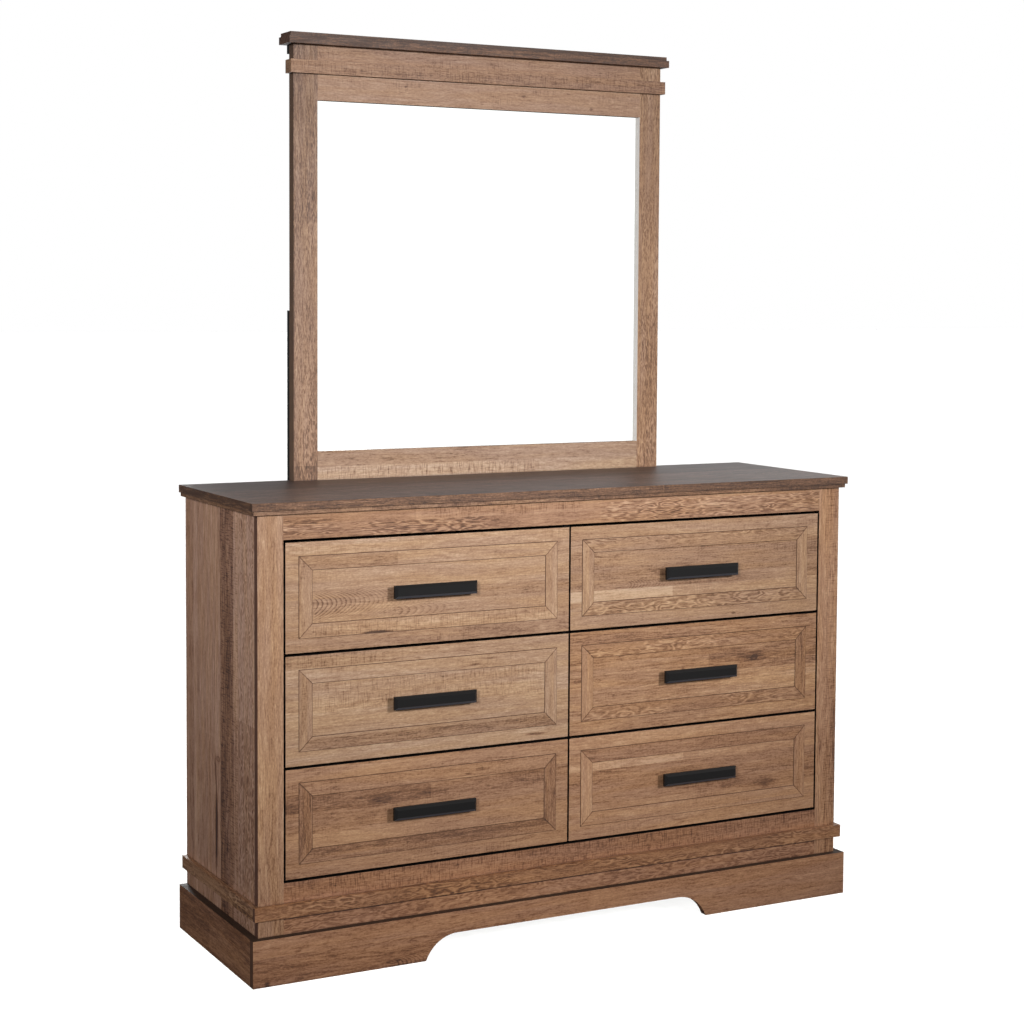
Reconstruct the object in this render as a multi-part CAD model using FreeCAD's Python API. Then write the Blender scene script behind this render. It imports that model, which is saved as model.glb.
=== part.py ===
import FreeCAD
import Part
import math
import os

# Six-drawer dresser in oak-grain laminate with a framed mirror standing on its top.
# Millimetres, +Z up, the front faces -Y, the origin is on the floor under the middle of the object.

# Carcass: the boards behind the face frame
cabinet_width = 1318.0
cabinet_depth = 400.0
board_thickness = 16.0
back_thickness = 6.0
back_rabbet_width = 8.0
back_rail_height = 150.0
bottom_panel_drop = 20.0

# Face frame
frame_thickness = 16.0
stile_width = 51.0
top_rail_height = 48.0
bottom_rail_show = 97.0
bottom_rail_lap = 29.0

# Top slab and the moulding stepped in under it
slab_thickness = 15.0
slab_overhang_front = 12.0
slab_overhang_side = 14.0
moulding_height = 8.0
moulding_set_in = 4.0

# Plinth with an arch between two bracket feet, and the belt moulding above it
plinth_height = 89.0
plinth_thickness = 16.0
foot_length = 354.0
foot_round = 3.0
arch_rise = 47.0
arch_radius = 72.0
belt_height = 25.5
belt_thickness = 10.0
belt_rise = 33.5

# Drawer fronts: a flat board with a routed channel that takes four mitred strips
row_names = ("bottom", "middle", "top")
column_names = ("left", "right")
front_height = 207.0
row_gap = 5.5
side_gap = 4.0
front_thickness = 15.0
border_width = 26.0
strip_width = 27.0
strip_thickness = 5.0
strip_proud = 1.0
strip_ease = 0.6
strip_seam = 0.4

# Drawer boxes
box_side_height = 150.0
box_side_thickness = 12.0
box_lift = 25.0
box_bottom_thickness = 3.0
groove_lift = 10.0
groove_depth = 5.0
groove_end_clearance = 0.5

# Bar pulls, each held by two screws from inside the drawer
pull_length = 175.0
pull_height = 25.0
pull_bar_thickness = 10.0
pull_projection = 23.5
pull_chamfer = 5.0
post_spacing = 128.0
post_width = 12.0
post_height = 14.0
pull_screw_grip = 7.0

# Telescopic slides: three nested steel channels on each side of a drawer
slide_height = 45.0
slide_width = 12.7
slide_sheet = 1.2
slide_flange = 9.0
slide_lip = 3.0
slide_clearance = 0.4
slide_setback = 2.0
slide_back_clearance = 10.0
packer_width = 50.0

# Mirror
mirror_width = 872.0
mirror_thickness = 23.5
mirror_stile_width = 52.5
mirror_bottom_rail_height = 59.0
mirror_opening_height = 716.5
mirror_top_rail_height = 111.0
mirror_rabbet_width = 8.0
glass_reveal = 9.0
glass_thickness = 4.0
glass_clearance = 1.0
backing_thickness = 6.0
mirror_belt_height = 27.0
mirror_belt_thickness = 8.0
mirror_belt_drop = 31.5
cap_lower_thickness = 15.0
cap_upper_thickness = 8.0
cap_overhang_side = 14.0
cap_overhang_front = 14.0
cap_overhang_back = 20.0
cap_set_in = 4.0
cleat_height = 18.0
cleat_thickness = 12.0

# Support slats behind the mirror and the dresser
slat_width = 50.0
slat_thickness = 12.0
slat_above_top = 348.0
slat_below_top = 200.0
slat_screw_length = 28.0
slat_screw_end_inset = 50.0
slat_screw_joint_inset = 60.0

# Pan-head screws of the slats and the pulls; they and their holes have flats instead of curves
screw_diameter = 4.0
screw_head_diameter = 9.0
screw_head_height = 2.8
screw_crown_share = 0.6
screw_rim_share = 0.5
screw_facets = 12
screw_clearance = 0.2

# Working values: one overrun for every cut and one tolerance for picking edges
overrun = 5.0
pick_tolerance = 0.001

# Heights
opening_bottom = plinth_height + bottom_rail_show
opening_height = len(row_names) * (front_height + row_gap) + row_gap
opening_top = opening_bottom + opening_height
frame_top = opening_top + top_rail_height
slab_bottom = frame_top + moulding_height
top_height = slab_bottom + slab_thickness
bottom_panel_top = opening_bottom - bottom_panel_drop
bottom_panel_bottom = bottom_panel_top - board_thickness
mirror_opening_bottom = top_height + mirror_bottom_rail_height
mirror_opening_top = mirror_opening_bottom + mirror_opening_height
cap_bottom = mirror_opening_top + mirror_top_rail_height

# Widths, each measured from the middle
cabinet_half = cabinet_width / 2.0
inner_half = cabinet_half - board_thickness
opening_half = cabinet_half - stile_width
partition_half = board_thickness / 2.0
mirror_half = mirror_width / 2.0
mirror_opening_half = mirror_half - mirror_stile_width

# Depths: the reach past the front frame and the back centres the whole object on the origin
front_reach = max(pull_projection, plinth_thickness)
back_reach = max(cap_overhang_back, slat_thickness + screw_head_height)
face_y = -(cabinet_depth + back_reach - front_reach) / 2.0
frame_back_y = face_y + frame_thickness
back_y = face_y + cabinet_depth
back_panel_y = back_y - back_thickness
back_rail_y = back_panel_y - board_thickness
front_back_y = face_y + front_thickness
slide_y = frame_back_y + slide_setback
slide_length = back_rail_y - slide_back_clearance - slide_y
box_length = slide_length
mirror_y = back_y - mirror_thickness


def block(x_low, x_high, y_low, y_high, z_low, z_high):
    """Square-edged board between two corners."""
    corner = FreeCAD.Vector(x_low, y_low, z_low)
    return Part.makeBox(x_high - x_low, y_high - y_low, z_high - z_low, corner)


def prism(points, along):
    """Solid swept straight from a closed outline of points."""
    outline = Part.makePolygon(points + points[:1])
    return Part.Face(outline).extrude(along)


def mirrored(solid):
    """The same piece on the other side of the middle."""
    return solid.mirror(FreeCAD.Vector(), FreeCAD.Vector(1, 0, 0))


def pair(solid):
    """A piece and its twin on the other side."""
    return [solid, mirrored(solid)]


def edges_where(solid, test):
    """Edges of a solid with both ends passing a test."""
    return [edge for edge in solid.Edges if all(test(end.Point) for end in edge.Vertexes)]


def save(name, solids):
    """Write one node: a single solid, or a group of separate ones."""
    shape = solids[0] if len(solids) == 1 else Part.makeCompound(solids)
    shape.exportStep("parts/" + name + ".step")


def side_panel():
    """Left side board, rabbeted along its back edge for the back panel."""
    panel = block(-cabinet_half, -inner_half, frame_back_y, back_y, 0, frame_top)
    rabbet_edge = -inner_half - back_rabbet_width
    rabbet = block(rabbet_edge, -inner_half, back_panel_y, back_y + overrun,
                   plinth_height, frame_top + overrun)
    return panel.cut(rabbet)


def back_rail():
    """Board under the top, inside the back, that the support slats are screwed to."""
    return block(-inner_half, inner_half, back_rail_y, back_panel_y,
                 slab_bottom - back_rail_height, slab_bottom)


def center_partition():
    """Upright board between the two stacks of drawers, notched round the back rail."""
    board = block(-partition_half, partition_half, frame_back_y, back_panel_y, bottom_panel_top, slab_bottom)
    return board.cut(back_rail())


def bottom_panel():
    """Floor board of the carcass."""
    return block(-inner_half, inner_half, frame_back_y, back_panel_y, bottom_panel_bottom, bottom_panel_top)


def back_panel():
    """Thin back let into the side panels; it closes up to the slab between the moulding strips."""
    low_half = inner_half + back_rabbet_width
    lower = block(-low_half, low_half, back_panel_y, back_y, plinth_height, frame_top)
    upper = block(-inner_half, inner_half, back_panel_y, back_y, frame_top, slab_bottom)
    return lower.fuse(upper).removeSplitter()


def front_stile():
    """Left upright of the face frame, down to the floor behind the plinth."""
    return block(-cabinet_half, -opening_half, face_y, frame_back_y, 0, frame_top)


def front_rails():
    """Top and bottom rails of the face frame; the bottom one laps down behind the plinth."""
    top = block(-opening_half, opening_half, face_y, frame_back_y, opening_top, frame_top)
    rail_bottom = plinth_height - bottom_rail_lap
    bottom = block(-opening_half, opening_half, face_y, frame_back_y, rail_bottom, opening_bottom)
    return [top, bottom]


def top_panel():
    """Top slab, flush with the back."""
    half = cabinet_half + slab_overhang_side
    return block(-half, half, face_y - slab_overhang_front, back_y, slab_bottom, top_height)


def top_moulding():
    """Strips under the slab: a front and two sides, mitred at the front corners."""
    outer_half = cabinet_half + slab_overhang_side - moulding_set_in
    outer_y = face_y - slab_overhang_front + moulding_set_in
    up = FreeCAD.Vector(0, 0, moulding_height)

    def corner(x, y):
        return FreeCAD.Vector(x, y, frame_top)

    front_points = [
        corner(-outer_half, outer_y),
        corner(outer_half, outer_y),
        corner(inner_half, frame_back_y),
        corner(-inner_half, frame_back_y),
    ]
    side_points = [
        corner(-outer_half, outer_y),
        corner(-inner_half, frame_back_y),
        corner(-inner_half, back_y),
        corner(-outer_half, back_y),
    ]
    return [prism(front_points, up)] + pair(prism(side_points, up))


def wrapped_strip(half, front_y, rear_y, thickness, z_low, z_high):
    """Front strip with square ends that cover two side strips, standing proud of a box face."""
    front = block(-half - thickness, half + thickness, front_y - thickness, front_y, z_low, z_high)
    side = block(-half - thickness, -half, front_y, rear_y, z_low, z_high)
    return [front] + pair(side)


def belt_moulding():
    """Belt round the front and sides, a little above the plinth."""
    belt_bottom = plinth_height + belt_rise
    belt_top = belt_bottom + belt_height
    return wrapped_strip(cabinet_half, face_y, back_y, belt_thickness, belt_bottom, belt_top)


def plinth_front():
    """Front plinth board; the arch is a flat between two arcs that come down to the feet."""
    front_y = face_y - plinth_thickness
    half = cabinet_half + plinth_thickness
    foot_x = half - foot_length
    drop = arch_radius - arch_rise
    flat_x = foot_x - math.sqrt(arch_radius ** 2 - drop ** 2)
    middle_angle = (math.asin(drop / arch_radius) + math.pi / 2.0) / 2.0

    def at(x, z):
        return FreeCAD.Vector(x, front_y, z)

    def arc(side):
        middle_x = flat_x + arch_radius * math.cos(middle_angle)
        middle_z = arch_radius * math.sin(middle_angle) - drop
        foot = at(side * foot_x, 0)
        return Part.Arc(foot, at(side * middle_x, middle_z), at(side * flat_x, arch_rise)).toShape()

    def line(start, end):
        return Part.LineSegment(start, end).toShape()

    edges = [
        line(at(-half, 0), at(-foot_x, 0)),
        arc(-1),
        line(at(-flat_x, arch_rise), at(flat_x, arch_rise)),
        arc(1),
        line(at(foot_x, 0), at(half, 0)),
        line(at(half, 0), at(half, plinth_height)),
        line(at(half, plinth_height), at(-half, plinth_height)),
        line(at(-half, plinth_height), at(-half, 0)),
    ]
    outline = Part.Wire(Part.__sortEdges__(edges))
    board = Part.Face(outline).extrude(FreeCAD.Vector(0, plinth_thickness, 0))

    def at_foot(point):
        return abs(point.z) < pick_tolerance and abs(abs(point.x) - foot_x) < pick_tolerance

    return board.makeFillet(foot_round, edges_where(board, at_foot))


def plinth_side():
    """Left plinth board, behind the end of the front one."""
    return block(-cabinet_half - plinth_thickness, -cabinet_half, face_y, back_y, 0, plinth_height)


def plinth_back():
    """Board that carries the bottom panel at the back."""
    return block(-inner_half, inner_half, back_rail_y, back_panel_y, 0, bottom_panel_bottom)


def slide_packers():
    """Upright battens that bring the outer slides flush with the stiles' inner edges."""
    front = block(-inner_half, -opening_half, frame_back_y, frame_back_y + packer_width,
                  bottom_panel_top, opening_top)
    rear_y = slide_y + slide_length
    rear = block(-inner_half, -opening_half, rear_y - packer_width, rear_y, bottom_panel_top, opening_top)
    return pair(front) + pair(rear)


def lipped_channel(low, high, half_height):
    """Outline across a slide of a C channel with lips; low and high are its reach from the cabinet."""
    inside = half_height - slide_sheet
    lip = half_height - slide_lip
    neck = high - slide_sheet
    web = low + slide_sheet
    upper = [
        (web, inside),
        (neck, inside),
        (neck, lip),
        (high, lip),
        (high, half_height),
        (low, half_height),
    ]
    lower = [(reach, -height) for reach, height in reversed(upper)]
    return lower + upper


def hat_channel(foot_high, foot_half, half_height):
    """Outline of the drawer's channel: a web on the drawer, flanges and feet that turn outwards."""
    inside = half_height - slide_sheet
    foot_low = foot_high - slide_sheet
    web = slide_width - slide_sheet
    upper = [
        (web, inside),
        (foot_low, inside),
        (foot_low, foot_half),
        (foot_high, foot_half),
        (foot_high, half_height),
        (slide_width, half_height),
    ]
    lower = [(reach, -height) for reach, height in reversed(upper)]
    return lower + upper


def slide_outlines():
    """Outlines of the cabinet, middle and drawer channels, nested with one clearance."""
    step = slide_sheet + slide_clearance
    outer_half = slide_height / 2.0
    middle_half = outer_half - step
    inner_foot_half = middle_half - step
    inner_half_height = middle_half - slide_lip - slide_clearance
    outer = lipped_channel(0, slide_flange, outer_half)
    middle = lipped_channel(step, slide_flange - step, middle_half)
    inner = hat_channel(slide_flange - step - step, inner_foot_half, inner_half_height)
    return {"outer": outer, "middle": middle, "inner": inner}


def slide_channel(outline, wall_x, direction, center_z):
    """One channel on a wall of the cabinet, reaching towards the drawer."""
    points = []
    for reach, height in outline:
        points.append(FreeCAD.Vector(wall_x + direction * reach, slide_y, center_z + height))
    return prism(points, FreeCAD.Vector(0, slide_length, 0))


def front_bottom(row):
    """Height of the lower edge of a row's drawer fronts."""
    return opening_bottom + row_gap + row * (front_height + row_gap)


def slide_pair(member, row):
    """Both channels of one kind for a drawer of the left stack."""
    outline = slide_outlines()[member]
    center_z = front_bottom(row) + box_lift + box_side_height / 2.0
    outside = slide_channel(outline, -opening_half, 1, center_z)
    inside = slide_channel(outline, -partition_half, -1, center_z)
    return [outside, inside]


def front_sides():
    """The left and right edges of a front in the left stack."""
    return side_gap - opening_half, -side_gap / 2.0


def front_heights(row):
    """The lower and upper edges of a row's fronts."""
    return front_bottom(row), front_bottom(row) + front_height


def inset_block(row, margin, y_low, y_high):
    """Block as large as a front less a margin all round."""
    x_low, x_high = front_sides()
    z_low, z_high = front_heights(row)
    return block(x_low + margin, x_high - margin, y_low, y_high, z_low + margin, z_high - margin)


def channel_floor():
    """How far back the strips' channel is routed."""
    return face_y - strip_proud + strip_thickness


def front_board(row):
    """Flat front: the strips' channel routed round it, a groove for the box bottom, the pull's holes."""
    blank = inset_block(row, 0, face_y, front_back_y)
    inner_margin = border_width + strip_width + 2 * strip_seam
    channel = inset_block(row, border_width, face_y - overrun, channel_floor())
    channel = channel.cut(inset_block(row, inner_margin, face_y - overrun, channel_floor()))
    return blank.cut(channel).cut(bottom_groove(row)).cut(pull_screw_holes(row))


def mitred_strip(corners):
    """Strip from its four corners on the channel's floor, with both long edges of its face eased."""
    floor_y = channel_floor()
    strip_face = floor_y - strip_thickness
    points = [FreeCAD.Vector(x, floor_y, z) for x, z in corners]
    strip = prism(points, FreeCAD.Vector(0, -strip_thickness, 0))

    def on_face(point):
        return abs(point.y - strip_face) < pick_tolerance

    def is_long(edge):
        run = edge.Vertexes[1].Point - edge.Vertexes[0].Point
        return min(abs(run.x), abs(run.z)) < pick_tolerance

    return strip.makeChamfer(strip_ease, [edge for edge in edges_where(strip, on_face) if is_long(edge)])


def front_strips(row):
    """Four strips in the channel, mitred at the corners with a fine seam all round."""
    x_low, x_high = front_sides()
    z_low, z_high = front_heights(row)
    outer = border_width + strip_seam
    inner = outer + strip_width
    half_seam = strip_seam / 2.0

    def across(z_edge, side):
        return [
            (x_low + outer + half_seam, z_edge + side * outer),
            (x_high - outer - half_seam, z_edge + side * outer),
            (x_high - inner - half_seam, z_edge + side * inner),
            (x_low + inner + half_seam, z_edge + side * inner),
        ]

    def upright(x_edge, side):
        return [
            (x_edge + side * outer, z_low + outer + half_seam),
            (x_edge + side * outer, z_high - outer - half_seam),
            (x_edge + side * inner, z_high - inner - half_seam),
            (x_edge + side * inner, z_low + inner + half_seam),
        ]

    outlines = [across(z_low, 1), across(z_high, -1), upright(x_low, 1), upright(x_high, -1)]
    return [mitred_strip(outline) for outline in outlines]


def drawer_front(row):
    """The board of a front and the strips let into it."""
    return [front_board(row)] + front_strips(row)


def box_sides():
    """The outer faces of a drawer box in the left stack."""
    return slide_width - opening_half, -partition_half - slide_width


def bottom_height(row):
    """Height of the underside of a drawer's bottom board."""
    return front_bottom(row) + box_lift + groove_lift


def bottom_groove(row):
    """Space of the grooves that hold a drawer's bottom on three sides, open at the back."""
    x_low, x_high = box_sides()
    shoulder = box_side_thickness - groove_depth
    z_low = bottom_height(row)
    end_y = front_back_y + box_length + overrun
    return block(x_low + shoulder, x_high - shoulder, front_back_y - groove_depth, end_y,
                 z_low, z_low + box_bottom_thickness)


def drawer_box(row):
    """Two grooved sides and a back that stands on the bottom board."""
    x_low, x_high = box_sides()
    z_low = front_bottom(row) + box_lift
    z_high = z_low + box_side_height
    rear_y = front_back_y + box_length
    groove = bottom_groove(row)
    left = block(x_low, x_low + box_side_thickness, front_back_y, rear_y, z_low, z_high)
    right = block(x_high - box_side_thickness, x_high, front_back_y, rear_y, z_low, z_high)
    back = block(x_low + box_side_thickness, x_high - box_side_thickness,
                 rear_y - box_side_thickness, rear_y, bottom_height(row) + box_bottom_thickness, z_high)
    return [left.cut(groove), right.cut(groove), back]


def drawer_bottom(row):
    """Thin bottom board, a little short of the groove ends."""
    x_low, x_high = box_sides()
    shoulder = box_side_thickness - groove_depth + groove_end_clearance
    z_low = bottom_height(row)
    front_edge = front_back_y - groove_depth + groove_end_clearance
    return block(x_low + shoulder, x_high - shoulder, front_edge, front_back_y + box_length,
                 z_low, z_low + box_bottom_thickness)


def pull_screw_places(row):
    """Points on the back of a front where its pull's screws go in."""
    center_x = sum(front_sides()) / 2.0
    center_z = sum(front_heights(row)) / 2.0
    half = post_spacing / 2.0
    return [FreeCAD.Vector(x, front_back_y, center_z) for x in (center_x - half, center_x + half)]


def pull_screw_holes(row):
    """Clearance holes of a pull's screws, through the front and into the posts."""
    length = front_thickness + pull_screw_grip
    return Part.makeCompound([screw_hole(place, length) for place in pull_screw_places(row)])


def pull_bar(row):
    """Cast bar with a bevelled face on two posts that stand on the front."""
    center_x = sum(front_sides()) / 2.0
    center_z = sum(front_heights(row)) / 2.0
    bar_y = face_y - pull_projection
    bar_back_y = bar_y + pull_bar_thickness
    bar = block(center_x - pull_length / 2.0, center_x + pull_length / 2.0, bar_y, bar_back_y,
                center_z - pull_height / 2.0, center_z + pull_height / 2.0)

    def on_face(point):
        return abs(point.y - bar_y) < pick_tolerance

    pull = bar.makeChamfer(pull_chamfer, edges_where(bar, on_face))
    for place in pull_screw_places(row):
        post = block(place.x - post_width / 2.0, place.x + post_width / 2.0, bar_back_y, face_y,
                     center_z - post_height / 2.0, center_z + post_height / 2.0)
        pull = pull.fuse(post)
    return pull.removeSplitter().cut(pull_screw_holes(row))


def drawer_pull(row):
    """A pull and its two screws."""
    length = front_thickness + pull_screw_grip
    return [pull_bar(row)] + [pan_screw(place, length) for place in pull_screw_places(row)]


def glass_pocket():
    """Rabbet round the opening, cut from behind, that takes the glass and its backing."""
    half = mirror_opening_half + mirror_rabbet_width
    return block(-half, half, mirror_y + glass_reveal, back_y + overrun,
                 mirror_opening_bottom - mirror_rabbet_width, mirror_opening_top + mirror_rabbet_width)


def mirror_stile():
    """Left upright of the mirror frame, drilled for the slat's screws."""
    stile = block(-mirror_half, -mirror_opening_half, mirror_y, back_y, top_height, cap_bottom)
    return stile.cut(glass_pocket()).cut(Part.makeCompound(slat_holes()))


def mirror_rails():
    """Top and bottom rails between the uprights."""
    top = block(-mirror_opening_half, mirror_opening_half, mirror_y, back_y, mirror_opening_top, cap_bottom)
    bottom = block(-mirror_opening_half, mirror_opening_half, mirror_y, back_y,
                   top_height, mirror_opening_bottom)
    return [top.cut(glass_pocket()), bottom.cut(glass_pocket())]


def pocket_sheet(front_y, thickness):
    """Sheet that stands in the rabbet, clear of its sides and top."""
    half = mirror_opening_half + mirror_rabbet_width - glass_clearance
    z_low = mirror_opening_bottom - mirror_rabbet_width
    z_high = mirror_opening_top + mirror_rabbet_width - glass_clearance
    return block(-half, half, front_y, front_y + thickness, z_low, z_high)


def mirror_glass():
    """Silvered glass against the rabbet's shoulder."""
    return pocket_sheet(mirror_y + glass_reveal, glass_thickness)


def mirror_backing():
    """Board behind the glass."""
    return pocket_sheet(mirror_y + glass_reveal + glass_thickness, backing_thickness)


def mirror_belt():
    """Belt round the head of the mirror frame."""
    belt_top = cap_bottom - mirror_belt_drop
    return wrapped_strip(mirror_half, mirror_y, back_y, mirror_belt_thickness,
                         belt_top - mirror_belt_height, belt_top)


def mirror_cap():
    """Two boards on the frame's head, the upper one stepped in at the front and ends."""
    half = mirror_half + cap_overhang_side
    front_y = mirror_y - cap_overhang_front
    rear_y = back_y + cap_overhang_back
    middle_z = cap_bottom + cap_lower_thickness
    lower = block(-half, half, front_y, rear_y, cap_bottom, middle_z)
    upper = block(-half + cap_set_in, half - cap_set_in, front_y + cap_set_in, rear_y,
                  middle_z, middle_z + cap_upper_thickness)
    return [lower, upper]


def mirror_cleat():
    """Batten behind the frame that the cap is fixed down to."""
    return block(-mirror_half, mirror_half, back_y, back_y + cleat_thickness,
                 cap_bottom - cleat_height, cap_bottom)


def slat_screw_places():
    """Points on the back of the left slat where its screws go in."""
    slat_x = -mirror_half + slat_width / 2.0
    slat_y = back_y + slat_thickness
    heights = [
        top_height + slat_above_top - slat_screw_end_inset,
        top_height + slat_screw_joint_inset,
        top_height - slat_screw_joint_inset,
        top_height - slat_below_top + slat_screw_end_inset,
    ]
    return [FreeCAD.Vector(slat_x, slat_y, height) for height in heights]


def screw_ring(place, radius, inwards):
    """Many-sided ring about a screw's axis, some way in from its place."""
    points = []
    for facet in range(screw_facets):
        angle = 2 * math.pi * facet / screw_facets
        offset = FreeCAD.Vector(radius * math.cos(angle), -inwards, radius * math.sin(angle))
        points.append(place + offset)
    return Part.makePolygon(points + points[:1])


def screw_shaft(place, radius, length):
    """Straight shaft from a place towards the front."""
    return Part.Face(screw_ring(place, radius, 0)).extrude(FreeCAD.Vector(0, -length, 0))


def screw_hole(place, length):
    """Clearance hole for a screw that goes in towards the front."""
    return screw_shaft(place, screw_diameter / 2.0 + screw_clearance, length + screw_clearance)


def slat_holes():
    """Holes for the left slat's screws, through the slat and into what is behind it."""
    return [screw_hole(place, slat_screw_length) for place in slat_screw_places()]


def mirror_support():
    """Left slat, screwed to the mirror's upright above and to the dresser's back below."""
    slat = block(-mirror_half, -mirror_half + slat_width, back_y, back_y + slat_thickness,
                 top_height - slat_below_top, top_height + slat_above_top)
    return slat.cut(Part.makeCompound(slat_holes()))


def drilled_for_slats(board):
    """A board of the back with the screw holes of both slats."""
    holes = Part.makeCompound(slat_holes())
    return board.cut(holes).cut(mirrored(holes))


def pan_screw(place, length):
    """Pan-head screw, with its head seated at a place and its shank towards the front."""
    head = screw_head_diameter / 2.0
    crown = head * screw_crown_share
    rim = screw_head_height * screw_rim_share
    rings = [
        screw_ring(place, head, 0),
        screw_ring(place, head, -rim),
        screw_ring(place, crown, -screw_head_height),
    ]
    cap = Part.makeLoft(rings, True, True)
    shank = screw_shaft(place, screw_diameter / 2.0, length)
    return cap.fuse(shank).removeSplitter()


def support_screws():
    """All the slats' screws."""
    screws = []
    for place in slat_screw_places():
        screws += pair(pan_screw(place, slat_screw_length))
    return screws


def in_column(solids, column):
    """Pieces of the left stack, or their twins for the right stack."""
    return solids if column == "left" else [mirrored(solid) for solid in solids]


def save_cabinet():
    """Write the fixed pieces of the dresser."""
    save("top_panel", [top_panel()])
    save("top_moulding", top_moulding())
    save("side_panels", pair(side_panel()))
    save("center_partition", [center_partition()])
    save("bottom_panel", [bottom_panel()])
    save("back_panel", [drilled_for_slats(back_panel())])
    save("back_rail", [drilled_for_slats(back_rail())])
    save("front_stiles", pair(front_stile()))
    save("front_rails", front_rails())
    save("belt_moulding", belt_moulding())
    save("plinth_front", [plinth_front()])
    save("plinth_sides", pair(plinth_side()))
    save("plinth_back", [plinth_back()])
    save("slide_packers", slide_packers())
    outer_channels = []
    for row in range(len(row_names)):
        for channel in slide_pair("outer", row):
            outer_channels += pair(channel)
    save("slide_outer_members", outer_channels)


def save_mirror():
    """Write the pieces of the mirror and what holds it."""
    save("mirror_stiles", pair(mirror_stile()))
    save("mirror_rails", mirror_rails())
    save("mirror_glass", [mirror_glass()])
    save("mirror_backing", [mirror_backing()])
    save("mirror_belt", mirror_belt())
    save("mirror_cap", mirror_cap())
    save("mirror_cleat", [mirror_cleat()])
    save("mirror_supports", pair(mirror_support()))
    save("support_screws", support_screws())


def save_drawer(row, column):
    """Write the pieces of one drawer."""
    name = "drawer_" + row_names[row] + "_" + column
    save(name + "_front", in_column(drawer_front(row), column))
    save(name + "_box", in_column(drawer_box(row), column))
    save(name + "_bottom", in_column([drawer_bottom(row)], column))
    save(name + "_pull", in_column(drawer_pull(row), column))
    save(name + "_slide_inner", in_column(slide_pair("inner", row), column))
    save(name + "_slide_middle", in_column(slide_pair("middle", row), column))


os.makedirs("parts", exist_ok=True)
save_cabinet()
save_mirror()
for drawer_row in range(len(row_names)):
    for drawer_column in column_names:
        save_drawer(drawer_row, drawer_column)
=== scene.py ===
import math

import bpy
import numpy as np
from mathutils import Matrix, Vector


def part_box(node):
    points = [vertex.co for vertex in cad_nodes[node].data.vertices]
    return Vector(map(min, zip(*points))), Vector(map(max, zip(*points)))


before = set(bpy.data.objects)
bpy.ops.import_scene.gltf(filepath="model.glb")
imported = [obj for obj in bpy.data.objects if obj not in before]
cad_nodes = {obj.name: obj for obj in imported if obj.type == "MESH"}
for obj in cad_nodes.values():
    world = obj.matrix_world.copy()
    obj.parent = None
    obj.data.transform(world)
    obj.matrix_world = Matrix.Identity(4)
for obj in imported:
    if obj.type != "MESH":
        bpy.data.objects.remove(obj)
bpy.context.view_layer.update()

# Sizes of the dresser in metres, as its solids have them
MM = 0.001
FACE_Y = -198.25 * MM
MIRROR_FACE_Y = 178.25 * MM
OPENING_HALF = 609.0 * MM
OPENING_LOW, OPENING_HIGH = 180.0 * MM, 835.0 * MM
BORDER = 26.0 * MM
CHANNEL = 27.8 * MM
CHANNEL_DEPTH = 4.5 * MM
MIRROR_MIDDLE_Z = 1.2
CABINET_MIDDLE_Z = 0.5
ROWS = ("bottom", "middle", "top")
COLUMNS = ("left", "right")
AXES = {"x": 0, "y": 1, "z": 2}

# How near a face lies to an edge, and how straight it looks along an axis, to count as being there
EDGE_SLACK, FACE_SLACK = 0.1 * MM, 0.05 * MM
FACING = 0.9

# How far a face of an upright looks away from the middle, and how slanted one of a pull is, to be told apart
OUTWARD, SLANTED = 0.1, 0.3


def linear(hex_colour):
    """An sRGB hex colour as linear red, green, blue and alpha."""
    parts = [int(hex_colour[k:k + 2], 16) / 255.0 for k in (1, 3, 5)]
    bright = [((p + 0.055) / 1.055) ** 2.4 if p > 0.04045 else p / 12.92 for p in parts]
    return (*bright, 1.0)


def add(tree, kind, sockets, **settings):
    """One node: settings go to its own fields; a socket takes a value, or the output it is linked from. The
    sockets of a MapRange are its value, the ends of its range, and what those ends become."""
    made = tree.nodes.new("ShaderNode" + kind)
    for field, value in settings.items():
        setattr(made, field, value)
    for socket, value in sockets.items():
        if isinstance(value, bpy.types.NodeSocket):
            tree.links.new(value, made.inputs[socket])
        else:
            made.inputs[socket].default_value = value
    return made


def blank_material(name):
    """An empty node material and its tree."""
    material = bpy.data.materials.new(name)
    material.use_nodes = True
    material.node_tree.nodes.clear()
    return material, material.node_tree


def set_stops(ramp, stops):
    """Give a colour ramp its stops, each a place from 0 to 1 and a hex colour."""
    elements = ramp.color_ramp.elements
    while len(elements) < len(stops):
        elements.new(1.0)
    for element, (place, colour) in zip(elements, stops):
        element.position = place
        element.color = linear(colour)


# Prints of the same oak decor paper. Lengths are millimetres along and across the grain; a depth is how far a
# mark moves the tone of the paper, which goes from 0, dark, to 1, light. A figure of negative depth is drawn
# in light strokes on a brown ground.
PLANK_PRINT = {
    "stave": (900.0, 52.0),
    "stave_depth": 0.22,
    "band_depth": 0.30,
    "streak_depth": 0.62,
    "fine_depth": 0.56,
    "fleck": (5.5, 2.4),
    "fleck_depth": 0.62,
    "cloud_depth": 0.26,
    "figure": (120.0, 20.0),
    "wave": (90.0, 30.0, 10.0),
    "rings": 5.0,
    "ring_edges": (0.40, 0.88),
    "figure_cover": (0.52, 0.66),
    "figure_depth": 0.18,
    "saw_depth": 0.14,
}
STRIP_PRINT = {
    **PLANK_PRINT,
    "stave": (420.0, 90.0),
    "streak_depth": 0.45,
    "fleck_depth": 0.50,
    "figure": (27.0, 7.0),
    "wave": (20.0, 8.0, 6.0),
    "ring_edges": (0.20, 0.72),
    "figure_cover": (0.32, 0.60),
    "figure_depth": -0.52,
    "saw_depth": 0.05,
}
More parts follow.
